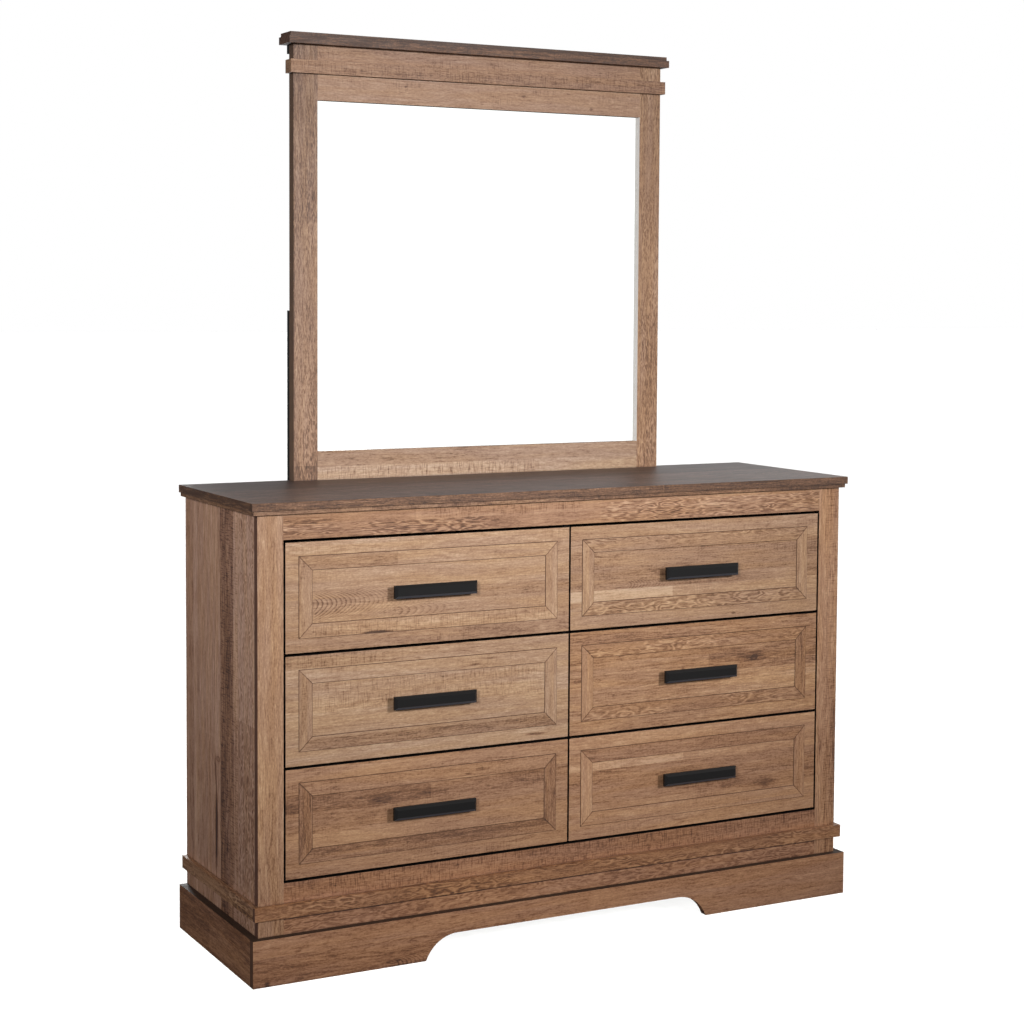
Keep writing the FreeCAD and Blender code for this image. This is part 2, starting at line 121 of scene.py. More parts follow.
RAIL_PRINT = {
    **STRIP_PRINT,
    "stave": (900.0, 52.0),
    "streak_depth": 0.70,
    "figure": (56.0, 7.0),
    "wave": (34.0, 10.0, 5.0),
    "rings": 6.0,
    "saw_depth": 0.24,
}
FINE_PRINT = {
    **STRIP_PRINT,
    "figure": (22.0, 4.2),
    "wave": (20.0, 9.0, 6.0),
    "rings": 3.0,
    "figure_depth": -0.30,
}
CURLED_PRINT = {
    **STRIP_PRINT,
    "figure": (44.0, 10.0),
    "wave": (30.0, 12.0, 9.0),
    "figure_depth": -0.44,
    "figure_cover": (0.36, 0.62),
}
FLECK_PRINT = {
    **PLANK_PRINT,
    "band_depth": 0.14,
    "streak_depth": 0.55,
    "fine_depth": 0.45,
    "fleck": (7.0, 2.8),
    "cloud_depth": 0.12,
    "figure_depth": 0.10,
    "saw_depth": 0.20,
}
FOIL_PRINT = {
    **PLANK_PRINT,
    "stave_depth": 0.0,
    "fleck_depth": 0.4,
    "figure_depth": 0.1,
    "saw_depth": 0.0,
}
OAK_STOPS = ((0.0, "#4A3428"), (0.28, "#83624B"), (0.5, "#AD8A6F"), (0.75, "#C5A488"), (1.0, "#DEC2A6"))
COOL_PAPER, WARM_PAPER = "#FAF6F6", "#FFF8EC"

# Noises of a print: where each is read, straight, along the wandering grain or on its curls; its size in
# millimetres along and across the grain, unless the print has it; its detail and its roughness
NOISES = {
    "streak": ("grain", (60.0, 4.0), 4.0, 0.55),
    "fine": ("grain", (22.0, 2.0), 2.0, 0.6),
    "fleck": ("grain", None, 2.0, 0.6),
    "band": ("grain", (260.0, 16.0), 2.0, 0.5),
    "warmth": ("grain", (240.0, 24.0), 1.0, 0.5),
    "figure": ("curl", None, 1.0, 0.4),
    "cover": ("grain", (190.0, 45.0), 1.0, 0.5),
    "saw": ("straight", (2.4, 26.0), 2.0, 0.6),
    "patch": ("grain", (110.0, 40.0), 2.0, 0.5),
    "pore": ("grain", (16.0, 1.6), 2.0, 0.5),
    "cloud": ("grain", (200.0, 38.0), 2.0, 0.5),
}

# Between which levels of its noise a mark comes in, how deep it is, and how much of it a plain board has
CUT_LEVELS, CUT_USUAL = (0.50, 0.66), 0.12
PATCH_LEVELS, PATCH_LEAST = (0.46, 0.62), 0.06
PORE_LEVELS, PORE_DEPTH, PORE_USUAL = (0.54, 0.68), 0.14, 0.2
WARM_LEVELS = (0.36, 0.64)
COVER_LEAST = 0.12
GLOSS_LEVELS, GLOSS_SPREAD, MOTTLE_RELIEF_SHARE = (0.3, 0.7), 0.06, 0.4

# Other sizes of a print in millimetres: the wander of its grain, ends of staves and zones, and mitre joints
WANDER, WANDER_HEIGHT = (300.0, 40.0, 1.0), 16.0
ROW_UNEVENNESS, ROW_STEP = 0.75, 61.0
STAVE_REACH, LAST_STAVE = 600.0, 60.0
ZONE_SOFT_RUN, ZONE_SOFT_ACROSS = 25.0, 2.0
MITRE_LINE, MITRE_DEPTH = (0.8, 1.8), 0.30

# Marks that are given: where in a turn a knot begins and draws its ring, how faint that gets and where it
# fades out, and how far a cathedral bows and where in a pitch it draws its line
KNOT_HEART, KNOT_RING, KNOT_FAINTEST, KNOT_FADE = 0.9, (0.2, 0.9), 0.3, (0.3, 1.0)
ARCH_BOW, ARCH_RING = 1.7, (0.4, 0.95)

# Painted shade in the corners where boards meet, and the relief of the paper's pores and cuts
CORNER_SHADE_REACH, CORNER_SHADE_LEVELS, CORNER_SHADE_DARKEST = 4.0 * MM, (0.45, 0.9), 0.5
PORE_RELIEF, CUT_RELIEF = -0.6, -0.4
PAPER_RELIEF, PAPER_RELIEF_SHARE = 0.15 * MM, 0.35


def laid_staves(tree, run, across, staves):
    """Staves that are given: each has the millimetre across the board where it begins, its tint on the left
    and on the right, from 0, dark, to 1, light, and the share of the staves' reach where one meets the other."""
    reach = staves[-1][0] + LAST_STAVE
    share = add(tree, "Math", {0: across, 1: 1.0 / reach}, operation="MULTIPLY").outputs[0]
    laid = add(tree, "ValToRGB", {0: share})
    laid.color_ramp.interpolation = "CONSTANT"
    elements = laid.color_ramp.elements
    while len(elements) < len(staves):
        elements.new(1.0)
    for element, (start, left, right, joint) in zip(elements, staves):
        element.position = start / reach
        element.color = (left, right, joint, 1.0)
    parts = add(tree, "SeparateColor", {0: laid.outputs[0]}).outputs
    along = add(tree, "Math", {0: run, 1: 1.0 / STAVE_REACH}, operation="MULTIPLY").outputs[0]
    past = add(tree, "Math", {0: along, 1: parts[2]}, operation="GREATER_THAN").outputs[0]
    return add(tree, "MixRGB", {0: past, 1: parts[0], 2: parts[1]}).outputs[0]


def knot_mark(tree, run, across, knot):
    """A knot, a smudge or a crack: ellipses about a dark heart, so many turns of them, that fade outwards. A
    knot is its middle along and across the grain, half its length and width, its turns and its depth."""
    middle_run, middle_across, half_length, half_width, turns = knot[:5]
    wide = add(tree, "Math", {0: run, 1: middle_run}, operation="SUBTRACT").outputs[0]
    high = add(tree, "Math", {0: across, 1: middle_across}, operation="SUBTRACT").outputs[0]
    spot = add(tree, "CombineXYZ", {0: wide, 1: high}).outputs[0]
    size = (half_length, half_width, 1.0)
    spot = add(tree, "VectorMath", {0: spot, 1: size}, operation="DIVIDE").outputs[0]
    away = add(tree, "VectorMath", {0: spot}, operation="LENGTH").outputs["Value"]
    turn = add(tree, "Math", {0: away, 1: turns, 2: KNOT_HEART}, operation="MULTIPLY_ADD").outputs[0]
    ring = add(tree, "Math", {0: turn}, operation="FRACT").outputs[0]
    low, high = KNOT_RING
    line = add(tree, "MapRange", {0: ring, 1: low, 2: high, 3: KNOT_FAINTEST, 4: 1.0},
               interpolation_type="SMOOTHSTEP")
    low, high = KNOT_FADE
    fade = add(tree, "MapRange", {0: away, 1: low, 2: high, 3: 1.0, 4: 0.0}).outputs[0]
    return add(tree, "Math", {0: line.outputs[0], 1: fade}, operation="MULTIPLY").outputs[0]


def arch_mark(tree, run, across, arch):
    """A cathedral: dark lines one pitch apart that bow back from a middle line as parabolas, faded at the
    ends. An arch is its ends along the grain, its middle and half its width across, its pitch and depth."""
    start, end, middle, half_width, pitch = arch[:5]
    away = add(tree, "Math", {0: across, 1: middle}, operation="SUBTRACT").outputs[0]
    square = add(tree, "Math", {0: away, 1: away}, operation="MULTIPLY").outputs[0]
    bow = ARCH_BOW / half_width
    bowed = add(tree, "Math", {0: square, 1: bow, 2: run}, operation="MULTIPLY_ADD").outputs[0]
    turn = add(tree, "Math", {0: bowed, 1: 1.0 / pitch}, operation="MULTIPLY").outputs[0]
    ring = add(tree, "Math", {0: turn}, operation="FRACT").outputs[0]
    low, high = ARCH_RING
    lines = add(tree, "MapRange", {0: ring, 1: low, 2: high, 3: 0.0, 4: 1.0},
                interpolation_type="SMOOTHSTEP")
    square_edge = half_width ** 2
    side = add(tree, "MapRange", {0: square, 1: square_edge / 4.0, 2: square_edge, 3: 1.0, 4: 0.0}).outputs[0]
    near = add(tree, "MapRange", {0: run, 1: start, 2: start + pitch, 3: 0.0, 4: 1.0}).outputs[0]
    far = add(tree, "MapRange", {0: run, 1: start, 2: end, 3: 1.0, 4: 0.0}).outputs[0]
    mark = lines.outputs[0]
    for fade in (side, near, far):
        mark = add(tree, "Math", {0: mark, 1: fade}, operation="MULTIPLY").outputs[0]
    return mark


def zone_mark(tree, run, across, zones):
    """A mask of rectangles, each its ends along the grain, then across it, with soft edges."""
    total = 0.0
    for zone in zones:
        mark = 1.0
        sides = ((run, zone[:2], ZONE_SOFT_RUN), (across, zone[2:], ZONE_SOFT_ACROSS))
        for place, (low, high), soft in sides:
            rise = add(tree, "MapRange", {0: place, 1: low - soft, 2: low + soft, 3: 0.0, 4: 1.0}).outputs[0]
            fall = add(tree, "MapRange", {0: place, 1: high - soft, 2: high + soft, 3: 1.0, 4: 0.0})
            mark = add(tree, "Math", {0: rise, 1: mark}, operation="MULTIPLY").outputs[0]
            mark = add(tree, "Math", {0: fall.outputs[0], 1: mark}, operation="MULTIPLY").outputs[0]
        total = add(tree, "Math", {0: mark, 1: total}, operation="MAXIMUM").outputs[0]
    return total


def mitre_mark(tree, axes, size):
    """The joints of the strips round a front of a width and a height: thin lines at 45 degrees from its
    corners."""
    halves = [part / 2.0 for part in size]
    outwards = []
    for axis, half in zip((axes.outputs[0], axes.outputs[2]), halves):
        away = add(tree, "Math", {0: axis, 1: half}, operation="SUBTRACT").outputs[0]
        outwards.append(add(tree, "Math", {0: away}, operation="ABSOLUTE").outputs[0])
    gap = add(tree, "Math", {0: outwards[0], 1: outwards[1]}, operation="SUBTRACT").outputs[0]
    gap = add(tree, "Math", {0: gap, 1: halves[0] - halves[1]}, operation="SUBTRACT").outputs[0]
    gap = add(tree, "Math", {0: gap}, operation="ABSOLUTE").outputs[0]
    return add(tree, "MapRange", {0: gap, 1: MITRE_LINE[0], 2: MITRE_LINE[1], 3: 1.0, 4: 0.0}).outputs[0]


def oak_laminate(name, along, shift, print_sizes, tone=0.0, hue="#FFF6EE", seed=0.0, staves=(), knots=(),
                 arches=(), figured=(), sawn=(), mitred=(), gloss=(0.54, 0.44)):
    """Oak decor paper under satin melamine: staves of several tints, streaks, year rings, sawn marks, pores.

    A print has two directions only: the way of the grain, and the sum of the other two axes, so that the
    print turns round a board's edge as paper does. Staves, knots and arches that are given are places on the
    board in millimetres, and so are the zones that are figured or sawn; what isn't given comes at random, as
    the seed has it. Corners where boards meet are darkened with painted shade from ambient occlusion."""
    material, tree = blank_material(name)
    place = add(tree, "TexCoord", {})
    paper = add(tree, "Mapping", {"Vector": place.outputs["Object"], "Location": shift,
                                  "Scale": (1.0 / MM,) * 3})
    axes = add(tree, "SeparateXYZ", {0: paper.outputs[0]})
    other = [axes.outputs[k] for k in range(3) if k != AXES[along]]
    across = add(tree, "Math", {0: other[0], 1: other[1]}, operation="ADD").outputs[0]
    run = axes.outputs[AXES[along]]

    # The grain wanders a little from the straight
    flat = add(tree, "CombineXYZ", {0: run, 1: across, 2: seed}).outputs[0]
    slow = add(tree, "VectorMath", {0: flat, 1: WANDER}, operation="DIVIDE").outputs[0]
    wander = add(tree, "TexNoise", {"Vector": slow, "Scale": 1.0, "Detail": 2.0}).outputs[0]
    bent = add(tree, "Math", {0: wander, 1: WANDER_HEIGHT, 2: across}, operation="MULTIPLY_ADD").outputs[0]
    wave_length, wave_width, wave_height = print_sizes["wave"]
    wave_size = (wave_length, wave_width, 1.0)
    quick = add(tree, "VectorMath", {0: flat, 1: wave_size}, operation="DIVIDE").outputs[0]
    wave = add(tree, "TexNoise", {"Vector": quick, "Scale": 1.0, "Detail": 1.0}).outputs[0]
    waved = add(tree, "Math", {0: wave, 1: wave_height, 2: bent}, operation="MULTIPLY_ADD").outputs[0]

    # Staves: rows of uneven width, each cut into uneven lengths with a tint of its own
    stave_length, stave_width = print_sizes["stave"]
    row_place = add(tree, "Math", {0: across, 1: 1.0 / stave_width, 2: seed}, operation="MULTIPLY_ADD")
    rows = add(tree, "TexVoronoi", {"W": row_place.outputs[0], "Scale": 1.0, "Randomness": ROW_UNEVENNESS},
               voronoi_dimensions="1D")
    row = add(tree, "SeparateColor", {0: rows.outputs["Color"]}).outputs[0]
    row_start = add(tree, "Math", {0: row, 1: ROW_STEP, 2: seed}, operation="MULTIPLY_ADD").outputs[0]
    length_place = add(tree, "Math", {0: run, 1: 1.0 / stave_length, 2: row_start}, operation="MULTIPLY_ADD")
    lengths = add(tree, "TexVoronoi", {"W": length_place.outputs[0], "Scale": 1.0}, voronoi_dimensions="1D")
    tint = add(tree, "SeparateColor", {0: lengths.outputs["Color"]}).outputs[0]
    tint_depth = print_sizes["stave_depth"]
    if staves:
        tint, tint_depth = laid_staves(tree, run, across, staves), 1.0

    places = {
        "straight": flat,
        "grain": add(tree, "CombineXYZ", {0: run, 1: bent, 2: row_start}).outputs[0],
        "curl": add(tree, "CombineXYZ", {0: run, 1: waved, 2: row_start}).outputs[0],
    }
    level = {}
    for key, (source, size, detail, rough) in NOISES.items():
        scale = (*(size or print_sizes[key]), 1.0)
        vector = add(tree, "VectorMath", {0: places[source], 1: scale}, operation="DIVIDE").outputs[0]
        level[key] = add(tree, "TexNoise", {"Vector": vector, "Scale": 1.0, "Detail": detail,
                                            "Roughness": rough}).outputs[0]

    # Year rings: each comes in slowly and ends sharply, where the figure covers the paper
    turn = add(tree, "Math", {0: level["figure"], 1: print_sizes["rings"]}, operation="MULTIPLY").outputs[0]
    ring = add(tree, "Math", {0: turn}, operation="FRACT").outputs[0]
    start, crest = print_sizes["ring_edges"]
    slope = add(tree, "MapRange", {0: ring, 1: start, 2: crest, 3: 0.0, 4: 1.0},
                interpolation_type="SMOOTHSTEP")
    fall = add(tree, "MapRange", {0: ring, 1: crest, 2: 1.0, 3: 1.0, 4: 0.0}).outputs[0]
    rings = add(tree, "Math", {0: slope.outputs[0], 1: fall}, operation="MULTIPLY").outputs[0]
    low, high = print_sizes["figure_cover"]
    shown = add(tree, "MapRange", {0: level["cover"], 1: low, 2: high, 3: COVER_LEAST, 4: 1.0}).outputs[0]
    if figured:
        shown = zone_mark(tree, run, across, figured)
    usual_ring = 0.5 * (1.0 - start)
    rings = add(tree, "Math", {0: rings, 1: usual_ring}, operation="SUBTRACT").outputs[0]
    rings = add(tree, "Math", {0: rings, 1: shown}, operation="MULTIPLY").outputs[0]

    # Cuts of the saw across the grain, in patches, and open pores along it
    low, high = CUT_LEVELS
    cuts = add(tree, "MapRange", {0: level["saw"], 1: low, 2: high, 3: 0.0, 4: 1.0}).outputs[0]
    low, high = PATCH_LEVELS
    rough_cut = add(tree, "MapRange", {0: level["patch"], 1: low, 2: high, 3: PATCH_LEAST, 4: 1.0}).outputs[0]
    if sawn:
        rough_cut = zone_mark(tree, run, across, sawn)
    cuts = add(tree, "Math", {0: cuts, 1: rough_cut}, operation="MULTIPLY").outputs[0]
    low, high = PORE_LEVELS
    pores = add(tree, "MapRange", {0: level["pore"], 1: low, 2: high, 3: 0.0, 4: 1.0}).outputs[0]

    # The tone is the sum of all marks, each less what a plain board has of it
    parts = [
        (tint, tint_depth, 0.5),
        (level["band"], print_sizes["band_depth"], 0.5),
        (level["streak"], print_sizes["streak_depth"], 0.5),
        (level["fine"], print_sizes["fine_depth"], 0.5),
        (level["fleck"], print_sizes["fleck_depth"], 0.5),
        (level["cloud"], print_sizes["cloud_depth"], 0.5),
        (rings, -print_sizes["figure_depth"], 0.0),
        (cuts, -print_sizes["saw_depth"], CUT_USUAL),
        (pores, -PORE_DEPTH, PORE_USUAL),
    ]
    parts += [(knot_mark(tree, run, bent, knot), -knot[-1], 0.0) for knot in knots]
    parts += [(arch_mark(tree, run, bent, arch), -arch[-1], 0.0) for arch in arches]
    parts += [(mitre_mark(tree, axes, size), -MITRE_DEPTH, 0.0) for size in mitred]
    shade = 0.5 + tone - sum(depth * usual for source, depth, usual in parts)
    for source, depth, usual in parts:
        shade = add(tree, "Math", {0: source, 1: depth, 2: shade}, operation="MULTIPLY_ADD").outputs[0]
    ramp = add(tree, "ValToRGB", {0: shade})
    set_stops(ramp, OAK_STOPS)
    low, high = WARM_LEVELS
    gold = add(tree, "MapRange", {0: level["warmth"], 1: low, 2: high, 3: 0.0, 4: 1.0}).outputs[0]
    warm = add(tree, "MixRGB", {0: gold, 1: linear(COOL_PAPER), 2: linear(WARM_PAPER)}).outputs[0]
    # Painted shade: ambient occlusion darkens the colour in corners and close under other parts
    corner = add(tree, "AmbientOcclusion", {"Distance": CORNER_SHADE_REACH}, samples=6).outputs["AO"]
    low, high = CORNER_SHADE_LEVELS
    dust = add(tree, "MapRange", {0: corner, 1: low, 2: high, 3: CORNER_SHADE_DARKEST, 4: 1.0}).outputs[0]
    colour = ramp.outputs[0]
    for colour_factor in (warm, linear(hue), dust):
        colour = add(tree, "MixRGB", {0: 1.0, 1: colour, 2: colour_factor}, blend_type="MULTIPLY").outputs[0]

    relief = add(tree, "Math", {0: pores, 1: PORE_RELIEF, 2: level["streak"]}, operation="MULTIPLY_ADD")
    relief = add(tree, "Math", {0: cuts, 1: CUT_RELIEF, 2: relief.outputs[0]}, operation="MULTIPLY_ADD")
    bump = add(tree, "Bump", {"Strength": PAPER_RELIEF_SHARE, "Distance": PAPER_RELIEF,
                              "Height": relief.outputs[0]}).outputs[0]
    low, high = GLOSS_LEVELS
    sheen = add(tree, "MapRange", {0: level["streak"], 1: low, 2: high, 3: gloss[0], 4: gloss[1]}).outputs[0]
    skin = add(tree, "BsdfPrincipled", {"Base Color": colour, "Roughness": sheen, "Normal": bump, "IOR": 1.5,
                                        "Specular IOR Level": 0.4})
    add(tree, "OutputMaterial", {"Surface": skin.outputs[0]})
    return material


def speckled(name, low, high, size_mm, rough, bump_mm, metallic=0.0, specular=0.5, stretch=(1.0, 1.0, 1.0),
             glow=0.0):
    """A plain finish with a fine mottle: two close colours, its roughness and a little relief from one noise.
    A glow stands for light that a mirror throws on it."""
    material, tree = blank_material(name)
    place = add(tree, "TexCoord", {})
    scale = tuple(1.0 / (size_mm * MM * part) for part in stretch)
    spot = add(tree, "Mapping", {"Vector": place.outputs["Object"], "Scale": scale}).outputs[0]
    mottle = add(tree, "TexNoise", {"Vector": spot, "Scale": 1.0, "Detail": 4.0, "Roughness": 0.6}).outputs[0]
    ramp = add(tree, "ValToRGB", {0: mottle})
    dark_level, light_level = GLOSS_LEVELS
    set_stops(ramp, ((dark_level, low), (light_level, high)))
    gloss = add(tree, "MapRange", {0: mottle, 1: dark_level, 2: light_level, 3: rough - GLOSS_SPREAD,
                                   4: rough + GLOSS_SPREAD})
    bump = add(tree, "Bump", {"Strength": MOTTLE_RELIEF_SHARE, "Distance": bump_mm * MM,
                              "Height": mottle}).outputs[0]
    skin = add(tree, "BsdfPrincipled", {"Base Color": ramp.outputs[0], "Roughness": gloss.outputs[0],
                                        "Normal": bump, "Metallic": metallic, "Specular IOR Level": specular,
                                        "Emission Color": ramp.outputs[0], "Emission Strength": glow})
    add(tree, "OutputMaterial", {"Surface": skin.outputs[0]})
    return material


# Melamine edge band on the cut ends of boards: plain, dull and darker than the face, so it draws a line
BAND = {"size_mm": 3.0, "rough": 0.6, "bump_mm": 0.05, "specular": 0.15, "stretch": (8, 8, 8)}
edge_band = speckled("dark_edge_band", "#5C4136", "#6E4F42", **BAND)
# The plinth's top faces: a dark edge band, darkened further as painted shade under the belt
plinth_top_band_and_shade = speckled("dark_plinth_top_band_and_shade", "#35271F", "#443227", **BAND)
plinth_end = speckled("brown_plinth_end", "#594033", "#694C3C", **BAND)
mirror_edge = speckled("brown_edge_band", "#665145", "#78604F", **{**BAND, "stretch": (1, 8, 8)})

# Board edges darkened as painted shade: black in the gaps round the drawers, brown in the strips' seams, so
# both read as lines
SHINIER_BAND = {**BAND, "specular": 0.2}
gap_shade_black = speckled("black_gap_edge_painted_shade", "#0D0A09", "#16110F", **SHINIER_BAND)
seam_shade_brown = speckled("strip_seam_painted_shade", "#5A4233", "#6A4E3C", **SHINIER_BAND)

# Edge beside the mirror's glass: pale and glowing, as painted light from the glass
glass_edge_glow = speckled("pale_edge_painted_glow", "#E6E1DC", "#EFEBE7", **{**SHINIER_BAND, "stretch": (1, 8, 8)},
                       glow=0.35)

# Boards that hardly show: brown melamine with a fine even grain, and hardboard with a broad soft mottle
carcass_board = speckled("brown_melamine_board", "#6B4F3C", "#7A5B45", size_mm=6.0, rough=0.5, bump_mm=0.03,
                         stretch=(1, 12, 1))
back_board = speckled("brown_hardboard", "#4F3B2C", "#735945", size_mm=45.0, rough=0.6, bump_mm=0.3,
                      stretch=(2, 1, 1))

# Drawer boxes in oak foil: a pale, yellowish, straight grain
FOIL_TONE, FOIL_HUE = 0.06, "#FFF6E0"
drawer_sides = oak_laminate("pale_oak_foil_sides", "y", (0, 0, 0), FOIL_PRINT, FOIL_TONE, FOIL_HUE)
drawer_back = oak_laminate("pale_oak_foil_back", "x", (0, 0, 0), FOIL_PRINT, FOIL_TONE, FOIL_HUE)

# Black: brushed paint on the wooden slats, smooth lacquer on the pulls, with a painted highlight on a slanted
# lower edge
black_wood = speckled("black_painted_wood", "#070606", "#0E0D0D", size_mm=3.0, rough=0.55, bump_mm=0.05,
                      specular=0.3, stretch=(1, 1, 12))
black_metal = speckled("satin_black_lacquer", "#090808", "#110F0F", size_mm=0.8, rough=0.42, bump_mm=0.02,
                       specular=0.18)
pull_edge_highlight = speckled("black_lacquer_painted_highlight", "#464C56", "#535A65", size_mm=0.8, rough=0.40, bump_mm=0.02,
                      specular=0.3)

# Zinc plate on rolled steel: bright, with long faint streaks the way the channels were drawn
zinc_steel = speckled("zinc_plated_steel", "#A9ABAD", "#C4C6C8", size_mm=5.0, rough=0.3, bump_mm=0.01,
                      metallic=1.0, stretch=(1, 20, 1))


def silvered_glass():
    """Silver behind plate glass: a mirror with the faint green of the glass and a trace of dust in its
    gloss."""
    material, tree = blank_material("silvered_plate_glass")
    place = add(tree, "TexCoord", {})
    dust_mm = 25.0
    dust = add(tree, "TexNoise", {"Vector": place.outputs["Object"], "Scale": 1.0 / (dust_mm * MM),
                                  "Detail": 6.0})
    gloss = add(tree, "MapRange", {0: dust.outputs[0], 1: 0.3, 2: 0.8, 3: 0.012, 4: 0.03}).outputs[0]
    tint = add(tree, "ValToRGB", {0: dust.outputs[0]})
    set_stops(tint, ((0.2, "#FAFBFA"), (0.8, "#F4F7F5")))
    skin = add(tree, "BsdfPrincipled", {"Base Color": tint.outputs[0], "Metallic": 1.0, "Roughness": gloss})
    add(tree, "OutputMaterial", {"Surface": skin.outputs[0]})
    return material


def dress(name, materials, choose=None):
    """Give a CAD node its materials; choose sorts its faces by their middles and normals, as arrays."""
    mesh = cad_nodes[name].data
    mesh.materials.clear()
    for material in materials:
        mesh.materials.append(material)
    count = len(mesh.polygons)
    index = np.zeros(count, dtype=np.int32)
    if choose is not None:
        middle = np.empty(count * 3, dtype=np.float32)
        normal = np.empty(count * 3, dtype=np.float32)
        mesh.polygons.foreach_get("center", middle)
        mesh.polygons.foreach_get("normal", normal)
        index = choose(middle.reshape(-1, 3), normal.reshape(-1, 3)).astype(np.int32)
    mesh.polygons.foreach_set("material_index", index)
    mesh.update()


def across_width(middle, normal):
    """Faces that look left or right take the second material."""
    return np.abs(normal[:, 0]) > FACING


def along_depth(middle, normal):
    """Faces that look to the front or the back take the second material."""
    return np.abs(normal[:, 1]) > FACING


def behind(front_y):
    """A chooser for a strip that goes round a front: the pieces along the sides take the second material."""
    return lambda middle, normal: middle[:, 1] > front_y + FACE_SLACK


def inner_edges(middle, normal):
    """Edges of the face frame that look into the drawers' openings; the callers give them the black of
    painted shade.
    """
    height = middle[:, 2]
    inside_x = (np.abs(normal[:, 0]) > FACING) & (np.abs(middle[:, 0]) < OPENING_HALF)
    inside_z = (np.abs(normal[:, 2]) > FACING) & (height > OPENING_LOW) & (height < OPENING_HIGH)
    return inside_x | inside_z


# The dresser's boards. A shift puts the print's zero at a board's own lower left corner, in millimetres,
# wherever marks are laid on the board. The hues make the boards a little greyer on the mirror and the top,
# and redder low down.
GREY_HUE, MILD_HUE, WARM_HUE, RED_HUE = "#FAFBFF", "#FFFBF6", "#FFF5EB", "#FFECE0"
# The top's staves grow darker towards the back: painted shade towards the mirror's foot
top_staves_shaded_back = ((0.0, 0.60, 0.53, 0.6), (110.0, 0.50, 0.55, 0.4), (235.0, 0.35, 0.38, 0.5),
              (320.0, 0.20, 0.24, 0.5))
oak_top = oak_laminate("oak_laminate_top", "x", (673, 210.25, -900), PLANK_PRINT, tone=-0.42, hue="#E4E9FF",
                       staves=top_staves_shaded_back, gloss=(0.50, 0.42))
oak_slab_edge = oak_laminate("oak_laminate_slab_edge", "x", (673, 210.25, -885), PLANK_PRINT, tone=-0.36,
                             hue=MILD_HUE, seed=1.0)
oak_slab_end = oak_laminate("oak_laminate_slab_ends", "y", (130, 40, 0), PLANK_PRINT, tone=-0.36,
                            hue=MILD_HUE)
oak_cap = oak_laminate("oak_laminate_cap", "x", (130, 40, 0), PLANK_PRINT, tone=-0.50, hue=WARM_HUE)
oak_moulding_x = oak_laminate("oak_laminate_moulding", "x", (430, 140, 0), PLANK_PRINT, tone=-0.22,
                              hue=MILD_HUE)
oak_moulding_y = oak_laminate("oak_laminate_moulding_sides", "y", (430, 140, 0), PLANK_PRINT, tone=-0.38,
                              hue=MILD_HUE)

# Rails of the face frame, the belt and the plinth; the bottom rail's dark stave is the shadow under the belt
rail_staves = ((0.0, 0.49, 0.55, 0.75), (25.0, 0.52, 0.62, 0.45))
rail_figured = ((-50.0, 110.0, 8.0, 36.0), (150.0, 420.0, -5.0, 26.0), (680.0, 1300.0, 2.0, 42.0))
oak_rail = oak_laminate("oak_laminate_top_rail", "x", (608, 198.25, -829), RAIL_PRINT, tone=-0.04,
                        hue="#FFF3E9", staves=rail_staves, figured=rail_figured,
                        sawn=((300.0, 640.0, 24.0, 60.0),))
low_rail_print = {**CURLED_PRINT, "figure_depth": -0.26, "saw_depth": 0.26}
low_staves = ((0.0, 0.45, 0.43, 0.9), (56.5, 0.02, 0.02, 0.9), (63.0, 0.45, 0.43, 0.6))
oak_low_rail = oak_laminate("oak_laminate_bottom_rail", "x", (608, 198.25, -60), low_rail_print, hue=RED_HUE,
                            seed=3.0, staves=low_staves, figured=((-50.0, 1300.0, 0.0, 64.0),),
                            sawn=((-50.0, 1300.0, 90.0, 140.0),))
oak_belt_x = oak_laminate("oak_laminate_belt", "x", (350, 770, 60), CURLED_PRINT, tone=-0.05, hue="#FFEBD6")
# The belt's sides are a darker copy of its front: painted shade on its side faces
oak_belt_y_shaded = oak_laminate("oak_laminate_belt_sides_painted_shade", "y", (350, 170, 60), CURLED_PRINT, tone=-0.10,
                          hue=WARM_HUE)
plinth_print = {**PLANK_PRINT, "saw_depth": 0.04}
plinth_staves = ((0.0, 0.34, 0.54, 0.95), (52.0, 0.47, 0.53, 1.2))
plinth_knots = ((284.0, 16.0, 26.0, 8.0, 1.9, 0.42), (28.0, 12.0, 7.0, 6.0, 0.0, 0.42))
oak_plinth_x = oak_laminate("oak_laminate_plinth", "x", (675, 214.25, 0), plinth_print, tone=0.04,
                            hue=RED_HUE, seed=5.0, staves=plinth_staves, knots=plinth_knots,
                            arches=((286.0, 400.0, 10.0, 20.0, 9.0, 0.36),))
# The plinth's sides are a darker copy of its front: painted shade on the low, left-facing faces
oak_plinth_y_shaded = oak_laminate("oak_laminate_plinth_sides_painted_shade", "y", (520, 420, 930), plinth_print, tone=-0.15,
                            hue=RED_HUE)

# Stiles of the face frame
left_stile_print = {**PLANK_PRINT, "saw_depth": 0.02, "streak_depth": 0.85, "fine_depth": 0.8}
left_stile_staves = ((0.0, 0.45, 0.55, 0.55), (17.0, 0.38, 0.49, 0.6), (36.0, 0.42, 0.52, 0.5))
oak_stile_left = oak_laminate("oak_laminate_left_stile", "z", (659, 198.25, 0), left_stile_print, tone=0.09,
                              hue="#FFF7F0", seed=2.0, staves=left_stile_staves)
right_stile_print = {**RAIL_PRINT, "figure_depth": -0.2, "streak_depth": 0.95, "fine_depth": 0.8}
right_stile_staves = ((0.0, 0.48, 0.58, 0.6), (22.0, 0.40, 0.50, 0.55), (43.0, 0.30, 0.43, 0.7))
oak_stile_right = oak_laminate("oak_laminate_right_stile", "z", (-608, 198.25, 0), right_stile_print,
                               tone=0.09, hue="#FFF0E4", seed=4.0, staves=right_stile_staves,
                               sawn=((-50.0, 900.0, 18.0, 60.0),))

